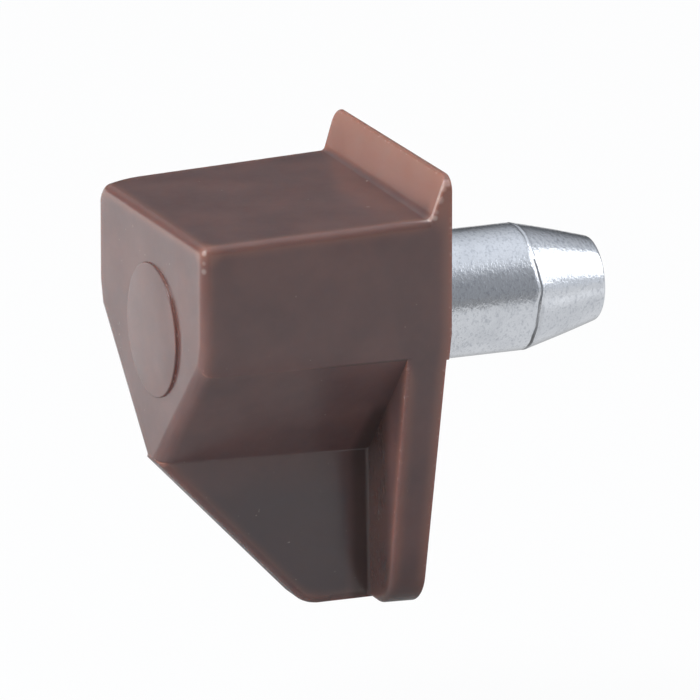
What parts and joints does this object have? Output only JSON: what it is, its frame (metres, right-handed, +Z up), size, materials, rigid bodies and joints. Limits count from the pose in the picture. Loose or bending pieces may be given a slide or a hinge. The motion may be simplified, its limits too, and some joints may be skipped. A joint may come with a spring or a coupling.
{
  "type": "shelf support pin",
  "caption": "Moulded plastic shelf support bracket with a flat seat, backstop lip and braced back plate, carried on a tapered steel pin that pushes into a panel hole.",
  "frame": {"origin": "on the pin's axis, at the bracket's wall face", "axes": "+X along the pin into the panel, +Y across the bracket's width, +Z up, out of the seat"},
  "size_m": [0.0185, 0.0114, 0.018],
  "materials": {
    "moulded_plastic": "smooth injection-moulded brown plastic, half gloss",
    "plated_steel": "bright zinc plating, finely mottled"
  },
  "bodies": {
    "root": {"bracket": "moulded_plastic", "pin": "plated_steel"}
  },
  "joints": []
}
